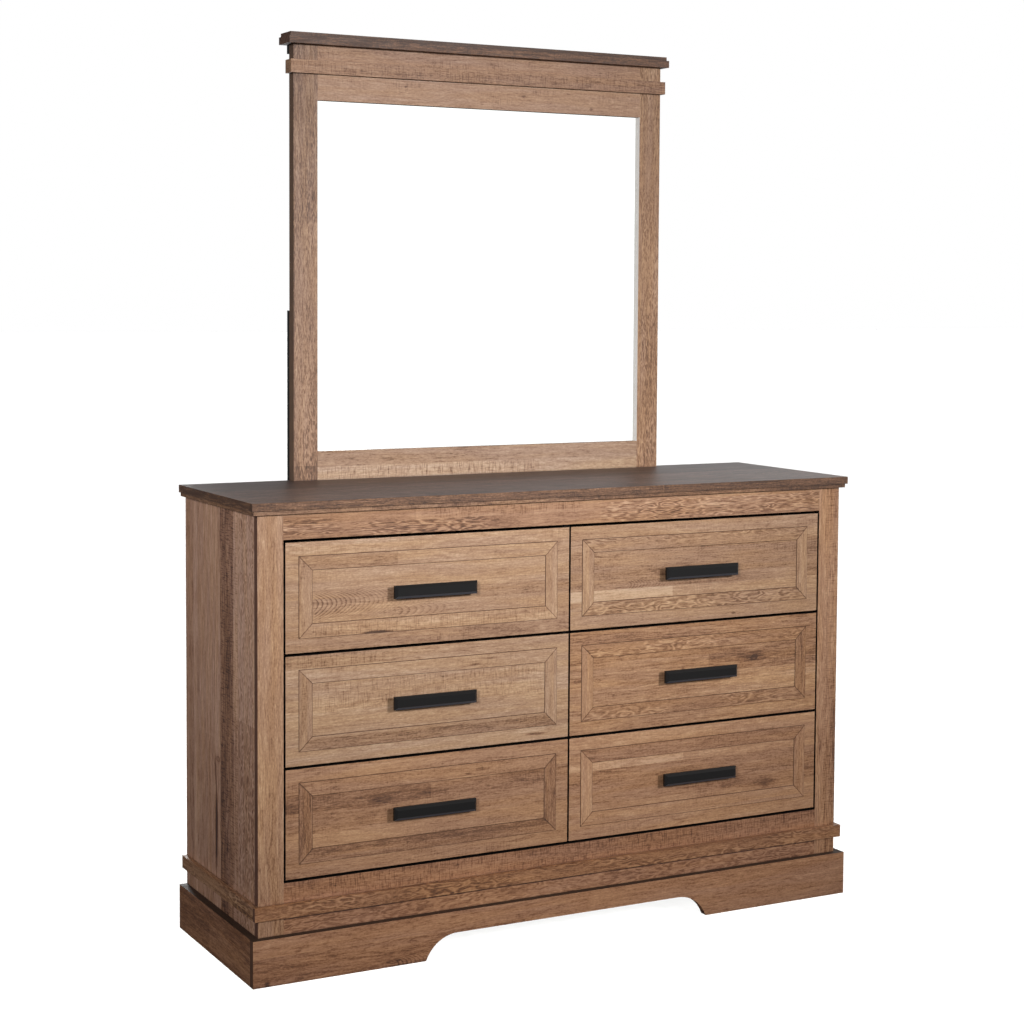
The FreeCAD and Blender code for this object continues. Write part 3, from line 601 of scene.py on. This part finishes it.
# Side panels, from the front edge back, with a crack low down; the right one is the left one's print again
side_print = {**STRIP_PRINT, "saw_depth": 0.36, "streak_depth": 1.2, "fine_depth": 0.8}
side_staves = ((0.0, 0.47, 0.68, 0.6), (86.0, 0.54, 0.74, 0.6), (110.0, 0.34, 0.32, 0.45),
               (142.0, 0.20, 0.27, 0.5), (184.0, 0.58, 0.62, 0.4), (214.0, 0.50, 0.58, 0.5),
               (268.0, 0.54, 0.54, 0.5), (318.0, 0.64, 0.64, 0.7), (336.0, 0.44, 0.48, 0.8))
side_knots = ((125.0, 217.0, 110.0, 8.5, 0.0, 1.1), (240.0, 220.0, 40.0, 7.0, 0.0, 0.6),
              (262.0, 206.0, 10.0, 18.0, 1.9, 0.5), (450.0, 150.0, 150.0, 24.0, 0.0, 0.16))
oak_sides = [oak_laminate("oak_laminate_side_" + side, "z", (shift, 182.25, -120), side_print, tone=0.06,
                          hue="#FFF5FC", seed=7.0, staves=side_staves, knots=side_knots,
                          figured=((-50.0, 800.0, 2.0, 84.0),), sawn=((-50.0, 800.0, 88.0, 182.0),))
             for side, shift in zip(COLUMNS, (659, -659))]

# The mirror's frame; the light stave of its head makes up for the shadow under the belt
head_staves = ((0.0, 0.54, 0.52, 0.3), (49.5, 0.85, 0.85, 0.3), (55.0, 0.46, 0.47, 0.5))
head_knots = ((476.0, 37.0, 9.0, 5.0, 0.0, 0.34), (643.0, 22.0, 6.0, 6.0, 0.0, 0.34),
              (197.0, 45.0, 4.0, 4.0, 0.0, 0.3))
oak_mirror_head = oak_laminate("oak_laminate_mirror_head", "x", (383.5, -178.25, -1675.5), FLECK_PRINT,
                               tone=0.06, hue="#FFFAFB", seed=1.0, staves=head_staves, knots=head_knots)
oak_mirror_foot = oak_laminate("oak_laminate_mirror_foot", "x", (383.5, -178.25, -900),
                               {**FLECK_PRINT, "saw_depth": 0.45}, tone=0.05, hue="#F5F9FF", seed=6.0,
                               staves=((0.0, 0.68, 0.60, 0.8), (27.0, 0.42, 0.50, 0.7)),
                               sawn=((-50.0, 520.0, -5.0, 27.0),))
oak_mirror_left = oak_laminate("oak_laminate_mirror_left", "z", (240, 85, 710), FINE_PRINT, tone=-0.16,
                               hue=GREY_HUE)
oak_mirror_right = oak_laminate("oak_laminate_mirror_right", "z", (240, 85, 710),
                                {**FINE_PRINT, "figure_depth": -0.38}, tone=-0.02, hue=MILD_HUE)
oak_mirror_belt_x = oak_laminate("oak_laminate_mirror_belt", "x", (350, 770, 60),
                                 {**FLECK_PRINT, "saw_depth": 0.18}, tone=-0.07, hue="#FFF8F6",
                                 sawn=((-200.0, 1100.0, 800.0, 3000.0),))
oak_mirror_belt_y = oak_laminate("oak_laminate_mirror_belt_sides", "y", (350, 170, 60), FLECK_PRINT,
                                 tone=-0.1, hue=GREY_HUE)

dress("top_panel", [oak_slab_edge, oak_slab_end, oak_top],
      lambda middle, normal: np.where(normal[:, 2] > FACING, 2, across_width(middle, normal)))
dress("top_moulding", [oak_moulding_x, oak_moulding_y], across_width)
dress("side_panels", oak_sides, lambda middle, normal: middle[:, 0] > 0.0)
dress("front_stiles", [oak_stile_left, oak_stile_right, edge_band, gap_shade_black],
      lambda middle, normal: np.select([inner_edges(middle, normal), across_width(middle, normal)], [3, 2],
                                       middle[:, 0] > 0.0))
dress("front_rails", [oak_rail, oak_low_rail, gap_shade_black],
      lambda middle, normal: np.where(inner_edges(middle, normal), 2, middle[:, 2] < CABINET_MIDDLE_Z))
dress("belt_moulding", [oak_belt_x, oak_belt_y_shaded, edge_band],
      lambda middle, normal: np.select([behind(FACE_Y)(middle, normal), across_width(middle, normal)],
                                       [1, 2]))
dress("plinth_front", [oak_plinth_x, plinth_top_band_and_shade, plinth_end],
      lambda middle, normal: np.select([normal[:, 2] > FACING, across_width(middle, normal)], [1, 2]))
dress("plinth_sides", [oak_plinth_y_shaded, plinth_top_band_and_shade], lambda middle, normal: normal[:, 2] > FACING)


def mirror_stile_faces(middle, normal):
    """A chooser for the mirror's uprights: 0 the right one, 1 the left one, 2 outer edges, 3 edges by the
    glass."""
    outwards = normal[:, 0] * middle[:, 0]
    return np.select([outwards > OUTWARD, outwards < -OUTWARD], [2, 3], middle[:, 0] < 0.0)


dress("mirror_stiles", [oak_mirror_right, oak_mirror_left, mirror_edge, glass_edge_glow], mirror_stile_faces)
dress("mirror_rails", [oak_mirror_foot, oak_mirror_head],
      lambda middle, normal: middle[:, 2] > MIRROR_MIDDLE_Z)
dress("mirror_belt", [oak_mirror_belt_x, oak_mirror_belt_y], behind(MIRROR_FACE_Y))
dress("mirror_cap", [oak_cap])
dress("mirror_glass", [silvered_glass()])
for board in ("bottom_panel", "back_rail", "plinth_back", "slide_packers"):
    dress(board, [carcass_board])
dress("center_partition", [carcass_board, gap_shade_black], lambda middle, normal: normal[:, 1] < -FACING)
for board in ("back_panel", "mirror_backing"):
    dress(board, [back_board])
for slat in ("mirror_cleat", "mirror_supports"):
    dress(slat, [black_wood])
for fitting in ("slide_outer_members", "support_screws"):
    dress(fitting, [zinc_steel])


def front_faces(name):
    """A chooser for a front: 0 its board, 1 strips along it, 2 upright strips, 3 its own edges, 4 seams."""
    low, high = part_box(name)

    def choose(middle, normal):
        side = np.minimum(middle[:, 0] - low.x, high.x - middle[:, 0])
        end = np.minimum(middle[:, 2] - low.z, high.z - middle[:, 2])
        edge = np.minimum(side, end)
        in_channel = (edge > BORDER - EDGE_SLACK) & (edge < BORDER + CHANNEL + EDGE_SLACK)
        strip = in_channel & (middle[:, 1] < FACE_Y + CHANNEL_DEPTH)
        not_front = normal[:, 1] > -FACING
        outer = (edge < EDGE_SLACK) & not_front
        return np.select([outer, strip & not_front, strip & (side < end), strip], [3, 4, 2, 1])

    return choose


def pull_faces(middle, normal):
    """A chooser for a pull: 0 its bar and posts, 1 the slanted edge under the bar, with its painted
    highlight, 2 screws in the front.
    """
    return np.where(behind(FACE_Y)(middle, normal), 2, normal[:, 2] * normal[:, 1] > SLANTED)


# Each drawer front, in millimetres from its lower left corner: its tone and hue, the staves of its sheet from
# the lower edge up, the knots, cathedrals and sawn zones on it, then its strips: the print, the staves of the
# lower and the upper strip, the tints of the left and the right strip, and the knots and sawn zones on them
FRONTS = {
    "top_left": {
        "tone": 0.08,
        "hue": MILD_HUE,
        "staves": ((0, 0.47, 0.44, 0.6), (30, 0.54, 0.53, 0.4), (54, 0.58, 0.54, 0.6), (80, 0.52, 0.42, 0.66),
                   (105, 0.57, 0.58, 0.4), (158, 0.54, 0.58, 0.3), (183, 0.64, 0.60, 0.5)),
        "arches": ((52.0, 310.0, 96.0, 32.0, 9.5, 0.40), (215.0, 420.0, 72.0, 14.0, 15.0, 0.28)),
        "print": {**PLANK_PRINT, "saw_depth": 0.24},
        "strips": ((0, 0.52, 0.58, 0.5), (100, 0.42, 0.58, 0.38)),
        "sides": (0.53, 0.57),
        "strip_knots": ((184.0, 36.0, 40.0, 3.6, 0.0, 0.8),),
        "strip_sawn": ((40.0, 570.0, 20.0, 60.0),),
    },
    "middle_left": {
        "tone": 0.10,
        "hue": "#FDFBF8",
        "sheet": {**PLANK_PRINT, "saw_depth": 0.26},
        "staves": ((0, 0.55, 0.57, 0.3), (28, 0.50, 0.47, 0.6), (54, 0.55, 0.54, 0.4), (92, 0.62, 0.58, 0.4),
                   (101, 0.54, 0.58, 0.6), (150, 0.55, 0.53, 0.5), (183, 0.46, 0.52, 0.4)),
        "knots": ((530.0, 22.0, 30.0, 3.4, 0.0, 0.4),),
        "sawn": ((54.0, 560.0, 96.0, 152.0), (0.0, 200.0, 183.0, 207.0)),
        "print": PLANK_PRINT,
        "strips": ((0, 0.34, 0.32, 0.5), (46, 0.52, 0.50, 0.5), (100, 0.60, 0.56, 0.6)),
        "sides": (0.40, 0.50),
        "strip_knots": ((425.0, 176.0, 26.0, 3.4, 0.0, 0.34), (395.0, 168.0, 14.0, 3.0, 0.0, 0.34)),
    },
    "bottom_left": {
        "tone": 0.01,
        "hue": "#FFF3E8",
        "staves": ((0, 0.54, 0.50, 0.7), (27, 0.44, 0.48, 0.4), (55, 0.60, 0.56, 0.5), (84, 0.44, 0.50, 0.3),
                   (122, 0.28, 0.42, 0.5), (158, 0.52, 0.56, 0.5), (183, 0.58, 0.54, 0.6)),
        "knots": ((195.0, 140.0, 34.0, 12.0, 0.0, 0.22),),
        "print": PLANK_PRINT,
        "strips": ((0, 0.42, 0.38, 0.4), (40, 0.32, 0.26, 0.5), (100, 0.50, 0.53, 0.4)),
        "sides": (0.32, 0.32),
        "strip_knots": ((412.0, 174.0, 26.0, 3.4, 0.0, 0.34), (380.0, 168.0, 12.0, 3.0, 0.0, 0.34)),
    },
    "top_right": {
        "tone": 0.03,
        "hue": MILD_HUE,
        "staves": ((0, 0.60, 0.56, 0.5), (54, 0.92, 0.66, 0.4), (75, 0.45, 0.47, 0.5), (128, 0.50, 0.43, 0.5),
                   (160, 0.56, 0.60, 0.4), (185, 0.62, 0.57, 0.6)),
        "knots": ((390.0, 16.0, 8.0, 4.0, 0.0, 0.4),),
        "arches": ((130.0, 300.0, 92.0, 14.0, 7.5, 0.20),),
        "print": CURLED_PRINT,
        "strips": ((0, 0.48, 0.45, 0.5), (100, 0.52, 0.50, 0.6)),
        "sides": (0.62, 0.54),
    },
    "middle_right": {
        "tone": 0.04,
        "hue": "#FFF2E3",
        "sheet": {**PLANK_PRINT, "streak_depth": 1.0, "fine_depth": 0.8, "band_depth": 0.45},
        "staves": ((0, 0.57, 0.55, 0.6), (52, 0.57, 0.66, 0.6), (101, 0.54, 0.38, 0.55),
                   (140, 0.48, 0.41, 0.5), (176, 0.40, 0.43, 0.4), (190, 0.47, 0.49, 0.6)),
        "knots": ((437.0, 131.0, 44.0, 14.0, 0.0, 0.22), (443.0, 130.0, 12.0, 7.0, 1.4, 0.60),
                  (18.0, 116.0, 16.0, 8.0, 1.9, 0.3), (64.0, 112.0, 14.0, 8.0, 1.9, 0.3),
                  (268.0, 122.0, 7.0, 4.0, 0.0, 0.3)),
        "print": CURLED_PRINT,
        "strips": ((0, 0.47, 0.46, 0.5), (100, 0.54, 0.46, 0.6)),
        "sides": (0.60, 0.38),
    },
    "bottom_right": {
        "tone": 0.08,
        "hue": "#FFF1E5",
        "staves": ((0, 0.54, 0.52, 0.5), (30, 0.52, 0.50, 0.4), (50, 0.58, 0.52, 0.5), (66, 0.46, 0.38, 0.6),
                   (100, 0.41, 0.40, 0.6), (136, 0.77, 0.57, 0.45), (152, 0.54, 0.50, 0.5),
                   (183, 0.63, 0.60, 0.5)),
        "knots": ((477.0, 76.0, 40.0, 20.0, 0.0, 0.2), (474.0, 72.0, 14.0, 9.0, 0.0, 0.16)),
        "print": PLANK_PRINT,
        "strips": ((0, 0.55, 0.53, 0.5), (100, 0.40, 0.37, 0.5)),
        "sides": (0.62, 0.42),
    },
}

# Seeds that keep the prints of the fronts and of their strips apart; where the right strip's tint takes over
SHEET_SEED_STEP, STRIP_SEED, UPRIGHT_SEED = 11.0, 5.0, 8.0
RIGHT_STRIP_START = 300

for row_name in ROWS:
    for column_name in COLUMNS:
        key = row_name + "_" + column_name
        drawer = "drawer_" + key
        front = FRONTS[key]
        tone, hue = front["tone"], front["hue"]
        seed = SHEET_SEED_STEP * list(FRONTS).index(key)
        low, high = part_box(drawer + "_front")
        place = (-low.x / MM, -FACE_Y / MM, -low.z / MM)
        mitred = (((high.x - low.x) / MM, (high.z - low.z) / MM),)
        left, right = front["sides"]
        sheet = oak_laminate("oak_laminate_" + drawer, "x", place, front.get("sheet", PLANK_PRINT), tone, hue,
                             seed, staves=front["staves"], knots=front.get("knots", ()),
                             arches=front.get("arches", ()), sawn=front.get("sawn", ()))
        along = oak_laminate("oak_laminate_strips_" + drawer, "x", place, front["print"], tone, hue,
                             seed + STRIP_SEED, staves=front["strips"], knots=front.get("strip_knots", ()),
                             sawn=front.get("strip_sawn", ()), mitred=mitred)
        upright = oak_laminate("oak_laminate_upright_strips_" + drawer, "z", place, PLANK_PRINT, tone, hue,
                               seed + UPRIGHT_SEED, mitred=mitred,
                               staves=((0, left, left, 1.0), (RIGHT_STRIP_START, right, right, 1.0)))
        dress(drawer + "_front", [sheet, along, upright, gap_shade_black, seam_shade_brown],
              front_faces(drawer + "_front"))
        dress(drawer + "_box", [drawer_sides, drawer_back], along_depth)
        dress(drawer + "_bottom", [drawer_back])
        dress(drawer + "_pull", [black_metal, pull_edge_highlight, zinc_steel], pull_faces)
        dress(drawer + "_slide_inner", [zinc_steel])
        dress(drawer + "_slide_middle", [zinc_steel])


# Studio: a pale floor, soft boxes and a dim room
def sheet_mesh(name, points):
    """A mesh from a grid of points, rows by columns, with a face between each four neighbours."""
    rows, columns = points.shape[:2]
    corner = np.arange(rows * columns).reshape(rows, columns)
    faces = np.stack([corner[:-1, :-1], corner[:-1, 1:], corner[1:, 1:], corner[1:, :-1]], -1).reshape(-1, 4)
    mesh = bpy.data.meshes.new(name)
    mesh.from_pydata(points.reshape(-1, 3).tolist(), [], faces.tolist())
    mesh.update()
    made = bpy.data.objects.new(name, mesh)
    bpy.context.scene.collection.objects.link(made)
    return made


def studio_floor(half_side):
    """Level square of pale vinyl, matt so that nothing shows in it: a grid of two by two points."""
    reach = np.array([-half_side, half_side])
    across, deep = np.meshgrid(reach, reach)
    floor = sheet_mesh("studio_floor", np.stack([across, deep, np.zeros_like(across)], -1))
    material = speckled("pale_studio_vinyl", "#F4F4F3", "#F8F8F7", size_mm=30.0, rough=0.9, bump_mm=0.02,
                        specular=0.0)
    floor.data.materials.append(material)
    floor.visible_diffuse = False
    floor.visible_glossy = False
    return floor


FLOOR_HALF_SIDE = 60.0
floor = studio_floor(FLOOR_HALF_SIDE)
only_floor = bpy.data.collections.new("lit_by_floor_lamps")
only_floor.objects.link(floor)


def lamp(name, kind, place, target, watts, **settings):
    """A lamp of a kind at a place, turned to a point."""
    data = bpy.data.lights.new(name, kind)
    data.energy = watts
    for field, value in settings.items():
        setattr(data, field, value)
    made = bpy.data.objects.new(name, data)
    made.location = place
    made.rotation_mode = "QUATERNION"
    made.rotation_quaternion = (Vector(target) - Vector(place)).to_track_quat("-Z", "Y")
    bpy.context.scene.collection.objects.link(made)
    return made


# Each soft box: its place and its target in metres, its watts, its side in metres and its spread in degrees
SOFT_BOXES = {
    "soft_box_left": ((-4.6, -5.2, 2.7), (-0.5, -0.2, 1.05), 6.9, 0.8, 32),
    "soft_box_right": ((1.7, -6.0, 2.7), (0.0, -0.2, 1.05), 8.1, 0.8, 32),
    "soft_box_side": ((-3.4, -0.5, 2.1), (-0.6, 0.0, 1.15), 2.0, 1.2, 60),
    "soft_box_far_side": ((4.0, 0.05, 0.85), (0.6, 0.05, 0.8), 8.0, 1.0, 70),
    "soft_box_back": ((0.4, 5.0, 0.85), (0.0, 0.2, 0.9), 20.0, 1.0, 70),
}
for box_name, (place, target, watts, side, spread) in SOFT_BOXES.items():
    lamp(box_name, "AREA", place, target, watts, size=side, spread=math.radians(spread))

# Two suns light the floor alone: one washes it white, the other leaves a soft shade under the dresser
SUN_PLACE, SUN_TARGET = (0, 0, 6), (0, 0, 0)
floor_wash = lamp("floor_wash", "SUN", SUN_PLACE, SUN_TARGET, 3.1, use_shadow=False)
floor_shade = lamp("floor_shade", "SUN", SUN_PLACE, SUN_TARGET, 0.45, angle=math.radians(70))
for floor_lamp in (floor_wash, floor_shade):
    floor_lamp.light_linking.receiver_collection = only_floor

# The mirror shows the white room to the eye and throws no light back on the dresser's top
for pane in ("mirror_glass", "mirror_backing"):
    cad_nodes[pane].visible_diffuse = False
    cad_nodes[pane].visible_glossy = False

# The room by direction: the axis that counts, the part of it that matters, and the values at its two ends
ROOM = {
    "back": (0, 0.30, 0.60, 0.16, 0.96),
    "front": (1, -0.2, 0.1, 0.0, 1.0),
    "low": (2, -0.3, -0.12, 0.15, 1.3),
    "above": (2, -0.3, 0.4, 0.03, 0.07),
    "warm": (2, -0.3, 0.2, 1.0, 0.0),
}
WHITE, WARM_LIGHT = "#FFFFFF", "#FFD9BE"


def studio_room():
    """White to the eye and in the mirror; elsewhere dim, warm below, darker behind and to the left."""
    world = bpy.data.worlds.new("studio_room")
    bpy.context.scene.world = world
    world.use_nodes = True
    tree = world.node_tree
    tree.nodes.clear()
    ray = add(tree, "LightPath", {})
    look = add(tree, "TexCoord", {})
    way = add(tree, "SeparateXYZ", {0: look.outputs["Generated"]}).outputs
    level = {}
    for key, (axis, start, end, first, last) in ROOM.items():
        level[key] = add(tree, "MapRange", {0: way[axis], 1: start, 2: end, 3: first, 4: last}).outputs[0]
    shine = add(tree, "MixRGB", {0: level["front"], 1: linear(WHITE), 2: level["back"]}).outputs[0]
    hue = add(tree, "MixRGB", {0: level["warm"], 1: linear(WHITE), 2: linear(WARM_LIGHT)}).outputs[0]
    fill = add(tree, "Background", {"Color": hue, "Strength": level["above"]}).outputs[0]
    mirrored = add(tree, "Background", {"Color": shine, "Strength": level["low"]}).outputs[0]
    seen = add(tree, "Background", {"Color": linear(WHITE), "Strength": 1.0}).outputs[0]
    glossy = add(tree, "MixShader", {0: ray.outputs["Is Glossy Ray"], 1: fill, 2: mirrored}).outputs[0]
    both = add(tree, "MixShader", {0: ray.outputs["Is Camera Ray"], 1: glossy, 2: seen}).outputs[0]
    add(tree, "OutputWorld", {"Surface": both})


studio_room()
bpy.context.scene.view_settings.view_transform = "Standard"

# Camera: where the photograph was taken from, with the shift that its upright lines need
FRAME_PIXELS = 1024.0
FOCAL_PIXELS = 2034.13
MIDDLE_DROP_PIXELS = 420.0
CAMERA_PLACE = Vector((-1.9885, -3.6862, 1.2826))
YAW, PITCH, ROLL = (math.radians(angle) for angle in (28.0233, 3.5208, -0.3321))


def photo_camera():
    """A camera turned by yaw, then pitch, then roll."""
    lens = bpy.data.cameras.new("photo_camera")
    lens.sensor_width = 36.0
    lens.lens = FOCAL_PIXELS / FRAME_PIXELS * lens.sensor_width
    lens.shift_y = -(FRAME_PIXELS / 2.0 - MIDDLE_DROP_PIXELS) / FRAME_PIXELS
    forward = Vector((math.sin(YAW) * math.cos(PITCH), math.cos(YAW) * math.cos(PITCH), -math.sin(PITCH)))
    right = Vector((math.cos(YAW), -math.sin(YAW), 0.0))
    down = forward.cross(right)
    right_rolled = math.cos(ROLL) * right + math.sin(ROLL) * down
    down_rolled = math.cos(ROLL) * down - math.sin(ROLL) * right
    turn = Matrix((right_rolled, -down_rolled, -forward)).transposed()
    made = bpy.data.objects.new("photo_camera", lens)
    made.matrix_world = Matrix.Translation(CAMERA_PLACE) @ turn.to_4x4()
    bpy.context.scene.collection.objects.link(made)
    bpy.context.scene.camera = made


photo_camera()
